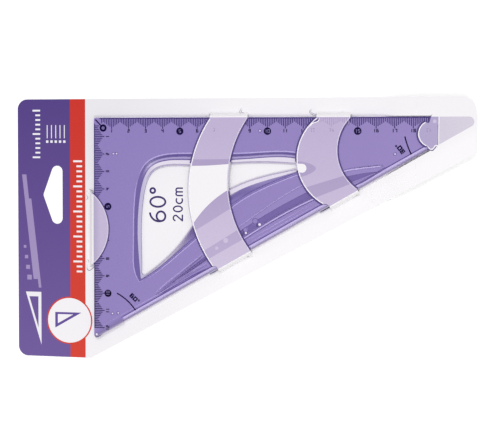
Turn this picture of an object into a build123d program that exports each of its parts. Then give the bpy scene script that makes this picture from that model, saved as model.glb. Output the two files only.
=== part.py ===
"""A 60 degree set square held in a die-cut hang card.

X runs along the square's long leg, Y up the card and Z out of its printed face. The card's back is at Z 0.
Plan positions are measured from the common zero of the square's two scales.
"""
import os
from math import cos, radians, sin, tan

from build123d import *

os.makedirs("parts", exist_ok=True)

# Card outline
CARD_LEFT = -47.5
CARD_RIGHT = 213.5
CARD_TOP = 11.5
CARD_FOOT = -138.2
CARD_END_FOOT = -19.2       # where the sloping lower edge meets the right end
CARD_HEADER_FOOT = -3.2     # where the sloping lower edge leaves the header
CARD_T = 0.5
INLAY = 0.1                 # depth of a printed field

# Header
FIELD_RIGHT = -15.7
BAND_RIGHT = -6.5

# Set square
LONG_LEG = 220.5
SHORT_LEG = LONG_LEG * tan(radians(30))
ZERO_INSET = 0.6            # from each leg's edge to the zero of its scale
SQUARE_T = 2.0
EDGE_T = 0.9                # thickness at the rounded long edge
LIP_T = 0.9                 # thickness of the lip around the opening
BEVEL = 3.3                 # width of the rounded long edge
BEVEL_END = 234.0           # where it ends, measured along the long edge from the tip
LEAF_DEPTH = 0.3
INK = 0.05

# Folded sheet
LIFT_GAP = 0.3              # between the square and the card that passes over it
RISE_RUN = 2.4              # plan length of a strap's bend down to the sheet
RISE_START = 0.3            # from the square's edge to the start of that bend
END_RISE_FROM = 158.0       # the card's end rises between these two stations
END_RISE_TO = 181.5
PLAN_GAP = 0.6              # from the square's edge to the sheet that rises beside it

# Scales
TICK_W = 0.48
TICK_START = 0.15           # from the edge to the scale's border line
BORDER_W = 0.5
NUMERAL_H = 1.5
DISC_NUMERAL_H = 1.6        # figures left bare in a disc
DISC_R = 2.1
LONG_ROW = 6.85             # numerals from the zero line
SHORT_ROW = 7.5

ZERO_X = -(CARD_LEFT + CARD_RIGHT) / 2
ZERO_Y = -(CARD_TOP + CARD_FOOT) / 2
Z_SQUARE = CARD_T
Z_FACE = Z_SQUARE + SQUARE_T
Z_LIFT = Z_FACE + LIFT_GAP
Z_OVER = Z_LIFT + CARD_T
CORNER = (-ZERO_INSET, ZERO_INSET)
TIP = (LONG_LEG - ZERO_INSET, ZERO_INSET)
HEEL = (-ZERO_INSET, ZERO_INSET - SHORT_LEG)
ALONG = (cos(radians(30)), sin(radians(30)))      # up the square's hypotenuse
OUT = (sin(radians(30)), -cos(radians(30)))       # square to it, away from the square


def level(z):
    """Plan plane at height z, with its origin at the zero of the scales."""
    return Plane(origin=(ZERO_X, ZERO_Y, z))


def past_hypotenuse(point, distance):
    """The plan point moved straight out across the hypotenuse."""
    return (point[0] + OUT[0] * distance, point[1] + OUT[1] * distance)


def polygon(*points, mode=Mode.ADD):
    with BuildLine() as edge:
        Polyline(*points, close=True)
    make_face(edge.edges(), mode=mode)


def triangle(margin=0.0, mode=Mode.ADD):
    """The square's sharp outline, grown by margin on all three sides."""
    back = margin / tan(radians(15))
    heel = margin / tan(radians(30))
    polygon(
        (CORNER[0] - margin, CORNER[1] + margin),
        (TIP[0] + back, TIP[1] + margin),
        (HEEL[0] - margin, HEEL[1] - heel),
        mode=mode,
    )


def strip(left, right, mode=Mode.ADD):
    """A strap's plan: two slits, each an arc through three points, run on past both of the square's edges.

    Further points of the left slit lead it along the square's rounded long edge.
    """
    run = RISE_START + RISE_RUN
    with BuildLine() as edge:
        a = ThreePointArc(*left[:3])
        b = ThreePointArc(*right)
        Polyline(a @ 0, (left[0][0], ZERO_INSET + run), (right[0][0], ZERO_INSET + run), b @ 0)
        Polyline(a @ 1, *left[3:], past_hypotenuse(left[-1], run), past_hypotenuse(right[2], run), b @ 1)
    make_face(edge.edges(), mode=mode)


def hook(start, middle, end):
    """Curled end of a slit."""
    with BuildLine() as curl:
        ThreePointArc(start, middle, end)
    trace(curl.edges(), line_width=0.35)


WIDE_LEFT = ((67.4, 0.2), (55.3, -36.0), (69.3, -82.9), (71.3, -82.9), (72.3, -84.2))
WIDE_RIGHT = ((88.8, 0.2), (77.8, -36.0), (90.4, -73.2))
NARROW_LEFT = ((127.4, 0.2), (116.6, -24.0), (131.3, -47.2), (133.2, -47.2), (134.9, -48.3))
NARROW_RIGHT = ((146.0, 0.2), (139.1, -19.5), (149.9, -38.6))
TAB_ARC = ((-4.6, -40.2), (8.2, -63.0), (-4.6, -85.6))
POCKET_ARC = ((186.4, -2.2), (182.6, -8.6), (187.1, -15.3))
POCKET_HEAD = ((189.4, 0.9), (188.7, -0.7), (188.2, -2.3))
POCKET_FOOT = ((188.5, -17.0), (190.3, -19.8))
TAB_ROOT = TAB_ARC[0][0]


def tab_outline(mode=Mode.ADD):
    with BuildLine() as edge:
        ThreePointArc(*TAB_ARC)
        Line(TAB_ARC[2], TAB_ARC[0])
    make_face(edge.edges(), mode=mode)


def past_pocket(mode=Mode.ADD):
    """Everything to the right of the tip pocket's mouth: an arc with a jog at its head and its foot."""
    with BuildLine() as edge:
        mouth = ThreePointArc(*POCKET_ARC)
        around = ((193.6, -60.0), (240.0, -60.0), (240.0, 40.0), (189.4, 40.0))
        Polyline(mouth @ 1, *POCKET_FOOT, *around, *POCKET_HEAD, mouth @ 0)
    make_face(edge.edges(), mode=mode)


def opening(mode=Mode.ADD):
    """The square's opening: a wing with a slim rounded right end."""
    with BuildLine() as edge:
        upper = Spline(
            (27.4, -87.0), (27.2, -72.0), (28.2, -46.0), (34.0, -29.9),
            (56.0, -26.5), (90.0, -24.7), (119.8, -25.5),
        )
        nose = ThreePointArc(upper @ 1, (120.9, -26.4), (119.8, -27.3))
        foot = ThreePointArc((29.6, -88.9), (28.0, -88.8), upper @ 0)
        Spline(
            nose @ 1, (101.6, -31.1), (77.8, -40.0), (62.5, -53.0), (50.2, -70.2), (38.6, -82.0), foot @ 0
        )
    make_face(edge.edges(), mode=mode)


def lip_edge():
    """Foot of the slope around the opening."""
    with BuildLine() as edge:
        upper = Spline(
            (26.9, -91.2), (25.3, -72.0), (26.3, -44.8), (32.5, -27.7),
            (56.0, -23.4), (90.0, -22.5), (117.0, -22.5), (127.0, -26.2),
        )
        Spline(
            upper @ 1, (103.0, -33.3), (79.4, -42.5), (63.8, -56.0), (51.7, -72.2), (39.6, -84.0), upper @ 0
        )
    make_face(edge.edges())


def rim_edge():
    """Head of the slope around the opening."""
    with BuildLine() as edge:
        upper = Spline(
            (26.6, -92.6), (24.3, -88.0), (23.2, -74.0), (23.9, -46.0), (30.5, -25.4),
            (56.0, -19.8), (90.0, -19.5), (117.0, -19.4), (131.5, -25.0),
        )
        Spline(
            upper @ 1, (104.0, -35.2), (81.5, -47.3), (66.0, -61.0), (52.5, -72.6), (39.8, -83.4), upper @ 0
        )
    make_face(edge.edges())


def leaf(mode=Mode.ADD):
    """Long leaf-shaped recess beside the hypotenuse."""
    with BuildLine() as edge:
        upper = Spline(
            (35.0, -101.2), (57.2, -82.0), (84.8, -60.1), (116.0, -38.9), (141.0, -29.2), (164.0, -25.8),
        )
        lower = Spline((35.0, -101.2), (65.9, -80.7), (101.8, -57.0), (127.4, -43.4), (148.0, -35.6))
        Line(lower @ 1, (165.8, -28.2))
        Line((165.8, -28.2), upper @ 1)
    make_face(edge.edges(), mode=mode)


def inner_leaf(mode=Mode.ADD):
    """Deeper facet inside the leaf."""
    with BuildLine() as edge:
        upper = Spline(
            (44.0, -94.0), (62.0, -79.6), (86.0, -62.0), (116.0, -44.0), (141.0, -33.0), (161.0, -29.3),
        )
        lower = Spline((44.0, -94.0), (68.0, -78.2), (101.0, -56.6), (127.0, -42.8), (146.0, -35.4))
        Line(lower @ 1, upper @ 1)
    make_face(edge.edges(), mode=mode)


SEGMENTS = {
    "0": "abcdef", "1": "bc", "2": "abged", "3": "abgcd", "4": "fgbc",
    "5": "afgcd", "6": "afgedc", "7": "abc", "8": "abcdefg", "9": "abcdfg",
}


def numeral(text, height, stroke, shape=0.6):
    """Block numerals about the current location; shape is a figure's width over its height."""
    width = shape * height
    pitch = width + stroke + 0.12 * height
    bars = {
        "a": (0, height / 2, width, stroke),
        "g": (0, 0, width, stroke),
        "d": (0, -height / 2, width, stroke),
        "b": (width / 2, height / 4, stroke, height / 2 + stroke),
        "c": (width / 2, -height / 4, stroke, height / 2 + stroke),
        "e": (-width / 2, -height / 4, stroke, height / 2 + stroke),
        "f": (-width / 2, height / 4, stroke, height / 2 + stroke),
    }
    for place, figure in enumerate(text):
        centre = (place - (len(text) - 1) / 2) * pitch
        if figure == "1":
            centre -= width / 2
        for name in SEGMENTS[figure]:
            x, y, w, h = bars[name]
            with Locations((centre + x, y)):
                Rectangle(w, h)


def bold_numeral(text, height):
    numeral(text, height, stroke=0.28 * height)


def tick_length(step):
    """From the zero line to a tick's end: longest at whole centimetres, shortest midway between them."""
    if step % 10 == 0:
        return 5.6
    return 1.8 + 0.65 * abs(step % 10 - 5)


# Set square
with BuildPart() as set_square:
    with BuildSketch(level(Z_SQUARE)) as outline:
        triangle()
        fillet(outline.vertices().sort_by(Axis.X)[-1], radius=2.5)
        fillet(outline.vertices().sort_by(Axis.Y)[0], radius=1.6)
        fillet(outline.vertices().sort_by(Axis.X)[:2].sort_by(Axis.Y)[-1], radius=0.8)
    extrude(amount=SQUARE_T)

    # Sloped rim down to the lip, then the opening
    with BuildSketch(level(Z_FACE)):
        rim_edge()
    with BuildSketch(level(Z_SQUARE + LIP_T)):
        lip_edge()
    loft(ruled=True, mode=Mode.SUBTRACT)
    with BuildSketch(level(Z_SQUARE)):
        opening()
    extrude(amount=SQUARE_T, mode=Mode.SUBTRACT)

    # Leaf recess with its deeper facet, and four studs standing in it
    with BuildSketch(level(Z_FACE)):
        leaf()
    extrude(amount=-LEAF_DEPTH, mode=Mode.SUBTRACT)
    with BuildSketch(level(Z_FACE)):
        inner_leaf()
    extrude(amount=-2 * LEAF_DEPTH, mode=Mode.SUBTRACT)
    for x, y, radius in ((93.3, -57.2, 2.3), (87.9, -62.2, 1.8), (82.6, -66.6, 1.5), (77.8, -70.3, 1.2)):
        with Locations((ZERO_X + x, ZERO_Y + y, Z_FACE - 2 * LEAF_DEPTH)):
            Cone(radius, 0.6 * radius, 2 * LEAF_DEPTH - 0.05, align=(Align.CENTER, Align.CENTER, Align.MIN))

    # Rounded long edge, with a fine groove along its inner side
    edge_plane = Plane(
        origin=(ZERO_X + TIP[0] + 10 * ALONG[0], ZERO_Y + TIP[1] + 10 * ALONG[1], Z_SQUARE),
        x_dir=(OUT[0], OUT[1], 0),
        z_dir=(-ALONG[0], -ALONG[1], 0),
    )
    with BuildSketch(edge_plane):
        with BuildLine():
            past_edge = (0.4, EDGE_T - 0.4)
            round_top = (-BEVEL + 0.6, SQUARE_T)
            Polyline(round_top, (-BEVEL + 0.3, SQUARE_T - 0.3), (-BEVEL, SQUARE_T), (-BEVEL, SQUARE_T + 1))
            Polyline((-BEVEL, SQUARE_T + 1), (1, SQUARE_T + 1), (1, EDGE_T - 0.4), past_edge)
            ThreePointArc(past_edge, (-0.9, SQUARE_T - 0.3), round_top)
        make_face()
    extrude(amount=10 + BEVEL_END, mode=Mode.SUBTRACT)

    # Small round dimples in the face
    pips = [(11.0, -19.8), (12.9, -19.8), (10.4, -111.6), (13.8, -111.2), (170.4, -19.6), (95.8, -6.9)]
    with BuildSketch(level(Z_FACE)):
        with Locations(*pips):
            Circle(0.55)
    extrude(amount=-0.25, mode=Mode.SUBTRACT)
set_square.part.label = "set_square"

# Scale of the long leg
LONG_MARKS = range(4, 201)
with BuildPart() as long_scale_print:
    with BuildSketch(level(Z_FACE)):
        with Locations((101.5, ZERO_INSET - TICK_START - BORDER_W / 2)):
            Rectangle(197.6, BORDER_W)
        for length in sorted({tick_length(step) for step in LONG_MARKS}):
            steps = [step for step in LONG_MARKS if tick_length(step) == length]
            top = ZERO_INSET - TICK_START
            with Locations(*[(step, (top - length) / 2) for step in steps]):
                Rectangle(TICK_W, top + length)
        for mark in range(5, 20, 5):
            with Locations((mark * 10, -LONG_ROW - 0.2)):
                Circle(DISC_R)
        for mark in range(1, 20):
            if mark % 5:
                with Locations((mark * 10, -LONG_ROW)):
                    bold_numeral(str(mark), NUMERAL_H)
        with Locations((198.6, -LONG_ROW + 2.9)):
            bold_numeral("20", 1.4)
    extrude(amount=INK)
    with BuildSketch(level(Z_FACE)):
        for mark in range(5, 20, 5):
            with Locations((mark * 10, -LONG_ROW - 0.2)):
                numeral(str(mark), DISC_NUMERAL_H, stroke=0.26)
    extrude(amount=INK, mode=Mode.SUBTRACT)
long_scale_print.part.label = "long_scale_print"

# Scale of the short leg
SHORT_MARKS = range(4, 121)
with BuildPart() as short_scale_print:
    with BuildSketch(level(Z_FACE)):
        with Locations((-ZERO_INSET + TICK_START + BORDER_W / 2, -61.5)):
            Rectangle(BORDER_W, 117.6)
        for length in sorted({tick_length(step) for step in SHORT_MARKS}):
            steps = [step for step in SHORT_MARKS if tick_length(step) == length]
            left = ZERO_INSET - TICK_START
            with Locations(*[((length - left) / 2, -step) for step in steps]):
                Rectangle(left + length, TICK_W)
        for mark in (5, 10):
            with Locations((SHORT_ROW + 0.2, -mark * 10)):
                Circle(DISC_R)
        for mark in range(1, 13):
            if mark % 5:
                with Locations(Location((SHORT_ROW, -mark * 10, 0), (0, 0, 90))):
                    bold_numeral(str(mark), NUMERAL_H)
    extrude(amount=INK)
    with BuildSketch(level(Z_FACE)):
        for mark in (5, 10):
            with Locations(Location((SHORT_ROW + 0.2, -mark * 10, 0), (0, 0, 90))):
                numeral(str(mark), DISC_NUMERAL_H, stroke=0.26)
    extrude(amount=INK, mode=Mode.SUBTRACT)
short_scale_print.part.label = "short_scale_print"

# Common zero: a ring with its figure, and a line to the corner
with BuildPart() as zero_mark_print:
    with BuildSketch(level(Z_FACE)):
        with Locations((4.9, -5.2)):
            Circle(2.1)
            Circle(0.85, mode=Mode.SUBTRACT)
            Circle(0.35)
        with BuildLine():
            Line((0.3, -0.4), (3.5, -3.7))
        trace(line_width=0.7)
    extrude(amount=INK)
zero_mark_print.part.label = "zero_mark_print"


def angle_figures(text):
    """Wide bold figures of an angle and the small raised ring that follows them."""
    numeral(text, 1.95, stroke=0.7, shape=0.85)
    with Locations((3.4, 0.85)):
        Circle(0.6)
        Circle(0.22, mode=Mode.SUBTRACT)


# Angle marks of the two sharp corners
with BuildPart() as angle_60_print:
    with BuildSketch(level(Z_FACE)):
        with BuildLine():
            CenterArc(HEEL, 30.2, 35, 28)
        trace(line_width=0.7)
        with Locations(Location((23.0, -102.0, 0), (0, 0, -43))):
            angle_figures("60")
    extrude(amount=INK)
angle_60_print.part.label = "angle_60_print"

with BuildPart() as angle_30_print:
    with BuildSketch(level(Z_FACE)):
        with BuildLine():
            CenterArc(TIP, 45.6, 193.5, 13)
        trace(line_width=0.7)
        with Locations(Location((173.7, -17.4, 0), (0, 0, 128))):
            angle_figures("30")
    extrude(amount=INK)
angle_30_print.part.label = "angle_30_print"


# Hang card
def s_profile(x_from, x_to, z_from, z_to):
    """Two smooth bends between two heights, as one curve of the current line."""
    middle = (x_from + x_to) / 2
    return Bezier((x_from, z_from), (middle, z_from), (middle, z_to), (x_to, z_to))


def card_outline():
    polygon(
        (CARD_LEFT, CARD_TOP),
        (CARD_RIGHT, CARD_TOP),
        (CARD_RIGHT, CARD_END_FOOT),
        (CARD_HEADER_FOOT, CARD_FOOT),
        (CARD_LEFT, CARD_FOOT),
    )


def hang_slot(mode=Mode.ADD):
    with BuildSketch(mode=Mode.PRIVATE) as slot:
        with Locations((-23.6, -30.1), (-23.6, -57.2)):
            Circle(3.3)
        with Locations((-29.2, -43.7)):
            Circle(2.7)
        make_hull()
    add(slot.sketch, mode=mode)


def windows(mode=Mode.SUBTRACT):
    """Everything that is cut through the sheet."""
    hang_slot(mode=mode)
    tab_outline(mode=mode)
    strip(WIDE_LEFT, WIDE_RIGHT, mode=mode)
    strip(NARROW_LEFT, NARROW_RIGHT, mode=mode)


BADGE = (-16.3, -116.7)
BADGE_R = 13.9
BADGE_RING = 0.8


def header_field(left, right, mode=Mode.ADD):
    """Full-height strip of the header, less the badge's disc."""
    with Locations(((left + right) / 2, (CARD_TOP + CARD_FOOT) / 2)):
        Rectangle(right - left, CARD_TOP - CARD_FOOT, mode=mode)


def badge_disc(radius, mode=Mode.ADD):
    with Locations(BADGE):
        Circle(radius, mode=mode)


with BuildPart() as end_rise:
    # Unbroken sheet that lies flat on the left and rises to the level above the square on the right
    side = Plane(origin=(ZERO_X, ZERO_Y - 150, 0), x_dir=(1, 0, 0), z_dir=(0, -1, 0))
    with BuildSketch(side):
        with BuildLine():
            low = s_profile(END_RISE_FROM, END_RISE_TO, 0, Z_LIFT)
            high = s_profile(END_RISE_FROM, END_RISE_TO, CARD_T, Z_OVER)
            Polyline(low @ 0, (CARD_LEFT - 5, 0), (CARD_LEFT - 5, CARD_T), high @ 0)
            Polyline(low @ 1, (CARD_RIGHT + 5, Z_LIFT), (CARD_RIGHT + 5, Z_OVER), high @ 1)
        make_face()
    extrude(amount=-200)

# Straps: strips of the same sheet, bent up over the square and back down on either side of it
def arch(z_inside, z_outside):
    """Solid under one face of the straps' sheet: flat over the square, bent down past both of its edges."""
    start = RISE_START
    end = RISE_START + RISE_RUN
    across = Plane(origin=(ZERO_X - 10, ZERO_Y + ZERO_INSET, 0), x_dir=(0, 1, 0), z_dir=(1, 0, 0))
    foot = (ZERO_X + HEEL[0] - 10 * ALONG[0], ZERO_Y + HEEL[1] - 10 * ALONG[1], 0)
    slant = Plane(origin=foot, x_dir=(OUT[0], OUT[1], 0), z_dir=(-ALONG[0], -ALONG[1], 0))
    with BuildPart() as body:
        with BuildSketch(across):
            with BuildLine():
                bend = s_profile(start, end, z_inside, z_outside)
                Polyline(bend @ 1, (20, z_outside), (20, -5), (-200, -5), (-200, z_inside), bend @ 0)
            make_face()
        extrude(amount=250)
        with BuildSketch(slant):
            with BuildLine():
                bend = s_profile(start, end, z_inside, z_outside)
                Polyline(bend @ 1, (20, z_outside), (20, -5), (-200, -5), (-200, z_inside), bend @ 0)
            make_face()
        extrude(amount=-280, mode=Mode.INTERSECT)
    return body.part


with BuildPart() as arched_sheet:
    add(arch(Z_OVER, CARD_T))
    add(arch(Z_LIFT, 0), mode=Mode.SUBTRACT)


def wide_shade(mode=Mode.ADD):
    """Darker bands of the wide strap's picture: the slopes beside the opening, and the leaf with its studs."""
    with BuildSketch(mode=Mode.PRIVATE) as bands:
        polygon((50, -23.0), (92, -22.5), (92, -26), (50, -29))
        polygon((50, -68.8), (60.7, -62.1), (79, -50.6), (92, -42.4), (84, -33.5), (70, -38), (56, -50))
        opening(mode=Mode.SUBTRACT)
        polygon((60, -77), (88, -59.4), (93, -63.8), (62, -81.8))
        with Locations((71.7, -72.7)):
            Circle(0.9, mode=Mode.SUBTRACT)
        with Locations((76.8, -68.3)):
            Circle(1.4, mode=Mode.SUBTRACT)
    add(bands.sketch, mode=mode)


def narrow_hole(mode=Mode.ADD):
    """End of the opening as the narrow strap's picture shows it."""
    with BuildLine() as edge:
        nose = ThreePointArc((119.6, -25.1), (122.0, -27.0), (118.2, -29.6))
        Polyline(nose @ 1, (112, -31.5), (112, -25.0), nose @ 0)
    make_face(edge.edges(), mode=mode)


def narrow_shade(mode=Mode.ADD):
    """Darker parts of the narrow strap's picture: the slope around the opening's end, and the leaf."""
    with BuildSketch(mode=Mode.PRIVATE) as bands:
        with BuildLine() as edge:
            nose = Spline((117.0, -24.3), (124.6, -25.3), (127.3, -27.6), (125.4, -29.8), (117.0, -31.3))
            Polyline(nose @ 1, (112, -32.0), (112, -24.3), nose @ 0)
        make_face(edge.edges())
        narrow_hole(mode=Mode.SUBTRACT)
        polygon(
            (115, -40.2), (122.4, -37.9), (142.2, -31.7), (155, -27.7),
            (156, -32.1), (146.1, -36.1), (118, -47.5),
        )
    add(bands.sketch, mode=mode)


def pictured_wide():
    """Plan of the wide strap's picture: its strip over the square, less the opening."""
    strip(WIDE_LEFT, WIDE_RIGHT)
    triangle(mode=Mode.INTERSECT)
    opening(mode=Mode.SUBTRACT)


def pictured_narrow():
    """Plan of the narrow strap's picture."""
    strip(NARROW_LEFT, NARROW_RIGHT)
    triangle(mode=Mode.INTERSECT)
    narrow_hole(mode=Mode.SUBTRACT)


with BuildPart() as strap_wide:
    add(arched_sheet.part)
    with BuildSketch(level(0)):
        strip(WIDE_LEFT, WIDE_RIGHT)
    extrude(amount=Z_OVER, mode=Mode.INTERSECT)
    with BuildSketch(level(Z_OVER)):
        pictured_wide()
    extrude(amount=-INLAY, mode=Mode.SUBTRACT)
strap_wide.part.label = "strap_wide"

with BuildPart() as strap_narrow:
    add(arched_sheet.part)
    with BuildSketch(level(0)):
        strip(NARROW_LEFT, NARROW_RIGHT)
    extrude(amount=Z_OVER, mode=Mode.INTERSECT)
    with BuildSketch(level(Z_OVER)):
        pictured_narrow()
    extrude(amount=-INLAY, mode=Mode.SUBTRACT)
strap_narrow.part.label = "strap_narrow"

with BuildPart() as strap_wide_shade_print:
    with BuildSketch(level(Z_OVER)):
        strip(WIDE_LEFT, WIDE_RIGHT)
        wide_shade(mode=Mode.INTERSECT)
    extrude(amount=-INLAY)
strap_wide_shade_print.part.label = "strap_wide_shade_print"

with BuildPart() as strap_wide_print:
    with BuildSketch(level(Z_OVER)):
        pictured_wide()
    extrude(amount=-INLAY)
    add(strap_wide_shade_print.part, mode=Mode.SUBTRACT)
strap_wide_print.part.label = "strap_wide_print"

with BuildPart() as strap_narrow_shade_print:
    with BuildSketch(level(Z_OVER)):
        strip(NARROW_LEFT, NARROW_RIGHT)
        narrow_shade(mode=Mode.INTERSECT)
    extrude(amount=-INLAY)
strap_narrow_shade_print.part.label = "strap_narrow_shade_print"

with BuildPart() as strap_narrow_print:
    with BuildSketch(level(Z_OVER)):
        pictured_narrow()
    extrude(amount=-INLAY)
    add(strap_narrow_shade_print.part, mode=Mode.SUBTRACT)
strap_narrow_print.part.label = "strap_narrow_print"

# Tuck tab: half-moon of the sheet, hinged at its straight side and bent over the square's short leg
with BuildPart() as tuck_tab:
    with BuildSketch(side):
        with BuildLine():
            low = s_profile(TAB_ROOT, CORNER[0] - RISE_START, 0, Z_LIFT)
            high = s_profile(TAB_ROOT, CORNER[0] - RISE_START, CARD_T, Z_OVER)
            Line(low @ 0, high @ 0)
            Polyline(low @ 1, (20, Z_LIFT), (20, Z_OVER), high @ 1)
        make_face()
    extrude(amount=-200)
    with BuildSketch(level(0)):
        tab_outline()
    extrude(amount=Z_OVER, mode=Mode.INTERSECT)
    with BuildSketch(level(Z_OVER)):
        tab_outline()
        triangle(mode=Mode.INTERSECT)
    extrude(amount=-INLAY, mode=Mode.SUBTRACT)
tuck_tab.part.label = "tuck_tab"

with BuildPart() as tuck_tab_print:
    with BuildSketch(level(Z_OVER)):
        tab_outline()
        triangle(mode=Mode.INTERSECT)
    extrude(amount=-INLAY)
tuck_tab_print.part.label = "tuck_tab_print"


# Printed fields, each sunk flush into the sheet
def covered_tip(mode=Mode.ADD):
    """Plan of the square's rounded tip where the pocket covers it."""
    with BuildSketch(mode=Mode.PRIVATE) as tip:
        triangle()
        fillet(tip.vertices().sort_by(Axis.X)[-1], radius=2.8)
        past_pocket(mode=Mode.INTERSECT)
    add(tip.sketch, mode=mode)


POCKET_PRINT_END = 193.4
TIP_PRINT_START = 193.9

with BuildPart() as pocket_print:
    with BuildSketch(level(Z_OVER)):
        covered_tip()
        with Locations((POCKET_PRINT_END - 50, 0)):
            Rectangle(100, 100, mode=Mode.INTERSECT)
    extrude(amount=-INLAY)
pocket_print.part.label = "pocket_print"

with BuildPart() as tip_print:
    with BuildSketch(level(Z_OVER)):
        covered_tip()
        with Locations((TIP_PRINT_START + 50, 0)):
            Rectangle(100, 100, mode=Mode.INTERSECT)
    extrude(amount=-INLAY)
tip_print.part.label = "tip_print"

# Size mark, drawn in thin strokes on two lines that read up the card
SIZE_STROKE = 1.15
SMALL_STROKE = 0.85


def ring(centre, x_radius, y_radius, stroke):
    with Locations(centre):
        Ellipse(x_radius, y_radius)
        Ellipse(x_radius - stroke, y_radius - stroke, mode=Mode.SUBTRACT)


with BuildPart() as size_print:
    with BuildSketch(Plane(origin=(ZERO_X + 41.7, ZERO_Y - 58.6, CARD_T), x_dir=(0, 1, 0), z_dir=(0, 0, 1))):
        ring((3.3, 3.15), 3.3, 3.15, SIZE_STROKE)
        with BuildLine():
            ThreePointArc((0.5, 3.3), (1.7, 7.8), (5.4, 9.6))
        trace(line_width=SIZE_STROKE)
        ring((11.5, 5.0), 3.4, 5.0, SIZE_STROKE)
        ring((17.9, 8.0), 1.95, 1.95, SIZE_STROKE)
    extrude(amount=-INLAY)
    with BuildSketch(Plane(origin=(ZERO_X + 51.4, ZERO_Y - 58.1, CARD_T), x_dir=(0, 1, 0), z_dir=(0, 0, 1))):
        with BuildLine() as two:
            ThreePointArc((0.4, 4.3), (2.1, 5.6), (3.4, 3.9))
            Line((3.4, 3.9), (0.4, 0.3))
            Line((0.4, 0.3), (3.9, 0.3))
        for edge in two.edges():
            trace(edge, line_width=SMALL_STROKE)
        with Locations((3.4, 3.9), (0.4, 0.3)):
            Circle(SMALL_STROKE / 2)
        ring((7.1, 2.95), 2.0, 2.95, SMALL_STROKE)
        with BuildLine() as curls:
            CenterArc((12.0, 2.1), 1.8, 50, 260)
            CenterArc((15.75, 3.0), 1.05, 0, 180)
            CenterArc((17.85, 3.0), 1.05, 0, 180)
        for edge in curls.edges():
            trace(edge, line_width=SMALL_STROKE)
        with Locations((14.7, 1.55), (16.8, 1.55), (18.9, 1.55)):
            Rectangle(SMALL_STROKE, 3.1)
    extrude(amount=-INLAY)
size_print.part.label = "size_print"

# White figures of the header: two rows of scale ticks, a triangle, and five ruled rows
with BuildPart() as header_white_print:
    with BuildSketch(level(CARD_T)):
        for row in range(23):
            reach = 5.4 if row % 5 == 0 else 3.4
            with Locations((-8.4 - reach / 2, -24.2 - 2.9 * row)):
                Rectangle(reach, 1.1)
        for row in range(11):
            reach = 4.6 if row % 5 == 0 else 2.9
            with Locations((-33.8 - reach / 2, 5.0 - 2.7 * row)):
                Rectangle(reach, 1.0)
        for row in range(5):
            with Locations((-29.5 + 2.6 * row, -12.9)):
                Rectangle(1.4, 1.4)
            with Locations((-29.5 + 2.6 * row, -7.2)):
                Rectangle(0.5, 7.6)
        polygon((-33.5, -100.5), (-33.5, -131.5), (-43.0, -100.5))
        polygon((-35.3, -103.2), (-35.3, -121.5), (-40.9, -103.2), mode=Mode.SUBTRACT)
    extrude(amount=-INLAY)
header_white_print.part.label = "header_white_print"

# Pale figure on the violet field: two slim slanted bars and a row of small squares
with BuildPart() as header_motif_print:
    with BuildSketch(level(CARD_T)):
        polygon((-45.0, -32.0), (-42.4, -32.0), (-35.6, -93.0), (-38.2, -93.0))
        polygon((-41.0, -46.0), (-39.4, -46.0), (-33.4, -98.0), (-35.0, -98.0))
        for row in range(4):
            with Locations((-43.4 + 0.9 * row, -74.0 - 6.0 * row)):
                Rectangle(1.6 + 0.4 * row, 1.6 + 0.4 * row)
    extrude(amount=-INLAY)
header_motif_print.part.label = "header_motif_print"

with BuildPart() as header_print:
    with BuildSketch(level(CARD_T)) as field:
        header_field(CARD_LEFT, FIELD_RIGHT)
        fillet(field.vertices().group_by(Axis.X)[0], radius=5.8)
        hang_slot(mode=Mode.SUBTRACT)
        badge_disc(BADGE_R, mode=Mode.SUBTRACT)
    extrude(amount=-INLAY)
    add(header_white_print.part, mode=Mode.SUBTRACT)
    add(header_motif_print.part, mode=Mode.SUBTRACT)
header_print.part.label = "header_print"

with BuildPart() as header_band_print:
    with BuildSketch(level(CARD_T)):
        header_field(FIELD_RIGHT, BAND_RIGHT)
        badge_disc(BADGE_R, mode=Mode.SUBTRACT)
    extrude(amount=-INLAY)
    add(header_white_print.part, mode=Mode.SUBTRACT)
header_band_print.part.label = "header_band_print"

with BuildPart() as badge_print:
    with BuildSketch(level(CARD_T)):
        badge_disc(BADGE_R)
        badge_disc(BADGE_R - BADGE_RING, mode=Mode.SUBTRACT)
    extrude(amount=-INLAY)
badge_print.part.label = "badge_print"

with BuildPart() as badge_icon_print:
    with BuildSketch(level(CARD_T)):
        polygon((-25.0, -112.0), (-9.0, -112.0), (-25.0, -121.2))
        polygon((-23.4, -113.2), (-14.0, -113.2), (-23.4, -118.6), mode=Mode.SUBTRACT)
    extrude(amount=-INLAY)
badge_icon_print.part.label = "badge_icon_print"

PRINTED_BEDS = (
    size_print,
    header_print,
    header_band_print,
    header_white_print,
    header_motif_print,
    badge_print,
    badge_icon_print,
)


# The sheet itself: its raised end is a piece of its own, butted to the flat part
def raised_end(mode=Mode.ADD):
    """Everything to the right of the station where the sheet starts to rise."""
    with Locations((END_RISE_FROM + 50, CARD_TOP - 100)):
        Rectangle(100, 240, mode=mode)


def sheet_beside_square():
    """Plan of the sheet around the square and over its tip."""
    with BuildSketch(mode=Mode.PRIVATE) as sheet:
        card_outline()
        fillet(sheet.vertices().group_by(Axis.X)[0], radius=5.8)
        fillet(sheet.vertices().sort_by(Axis.X)[-2:].sort_by(Axis.Y)[-1], radius=8.5)
        fillet(sheet.vertices().sort_by(Axis.X)[-1], radius=6.0)
        with BuildSketch(mode=Mode.PRIVATE) as under:
            triangle(margin=PLAN_GAP)
            past_pocket(mode=Mode.SUBTRACT)
        add(under.sketch, mode=Mode.SUBTRACT)
        windows()
    add(sheet.sketch)


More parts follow.
